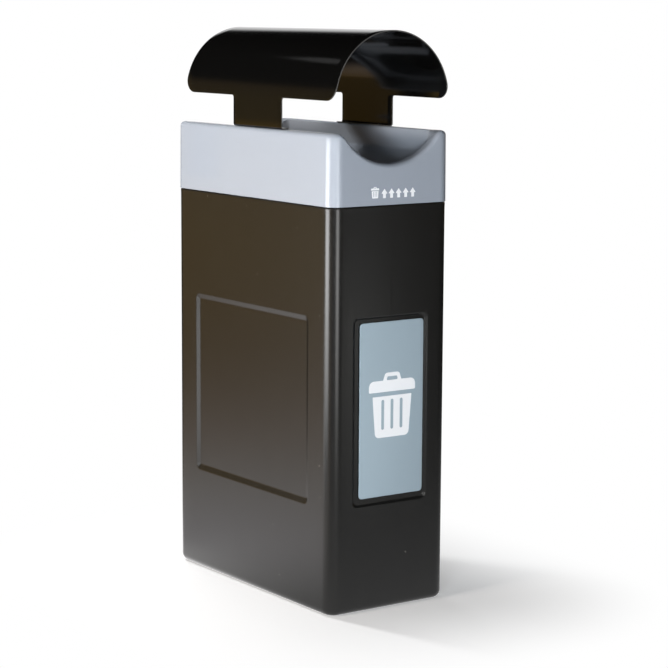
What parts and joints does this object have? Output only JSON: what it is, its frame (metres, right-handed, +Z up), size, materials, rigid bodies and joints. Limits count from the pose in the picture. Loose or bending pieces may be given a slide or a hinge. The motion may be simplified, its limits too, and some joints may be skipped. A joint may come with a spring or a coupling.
{
  "type": "commercial trash can",
  "caption": "Tall slim waste container: hollow moulded housing with a lift-out liner and a hinged hopper lid, scooped at both ends, under a rolled canopy.",
  "frame": {"origin": "middle of the flat base, at floor level", "axes": "+Z up, front end with the sign towards -Y, hinges at +Y"},
  "size_m": [0.3132, 0.6379, 1.2421],
  "materials": {
    "housing_plastic": "satin black moulded",
    "lid_plastic": "semi-gloss grey moulded",
    "canopy_sheet": "gloss black sheet",
    "sign_sheet": "satin blue-grey",
    "foam": "closed-cell foam",
    "liner_plastic": "satin dark grey moulded",
    "ring_steel": "zinc plated",
    "hinge_steel": "black powder coat",
    "rivet_metal": "plain",
    "screw_steel": "black zinc plated"
  },
  "bodies": {
    "housing": {"body_shell": "housing_plastic", "inner_liner": "liner_plastic", "bag_ring": "ring_steel", "sign_plate": "sign_sheet", "sign_pad_upper": "foam", "sign_pad_lower": "foam", "hinge_leaf_body_left": "hinge_steel", "hinge_leaf_body_right": "hinge_steel", "hinge_pin_left": "hinge_steel", "hinge_pin_right": "hinge_steel", "body_rivet_1": "rivet_metal", "body_rivet_2": "rivet_metal", "body_rivet_3": "rivet_metal", "body_rivet_4": "rivet_metal"},
    "lid": {"lid_hopper": "lid_plastic", "canopy": "canopy_sheet", "hinge_leaf_lid_left": "hinge_steel", "hinge_leaf_lid_right": "hinge_steel", "lid_rivet_1": "rivet_metal", "lid_rivet_2": "rivet_metal", "lid_rivet_3": "rivet_metal", "lid_rivet_4": "rivet_metal", "canopy_screw_1": "screw_steel", "canopy_screw_2": "screw_steel", "canopy_screw_3": "screw_steel", "canopy_screw_4": "screw_steel", "canopy_nut_1": "screw_steel", "canopy_nut_2": "screw_steel", "canopy_nut_3": "screw_steel", "canopy_nut_4": "screw_steel"}
  },
  "joints": [
    {"name": "lid_hinge", "type": "hinge", "parent": "housing", "child": "lid", "pos_m": [0, 0.31695, 0.8761], "axis": [-1, 0, 0], "range_deg": [0, 100]}
  ]
}
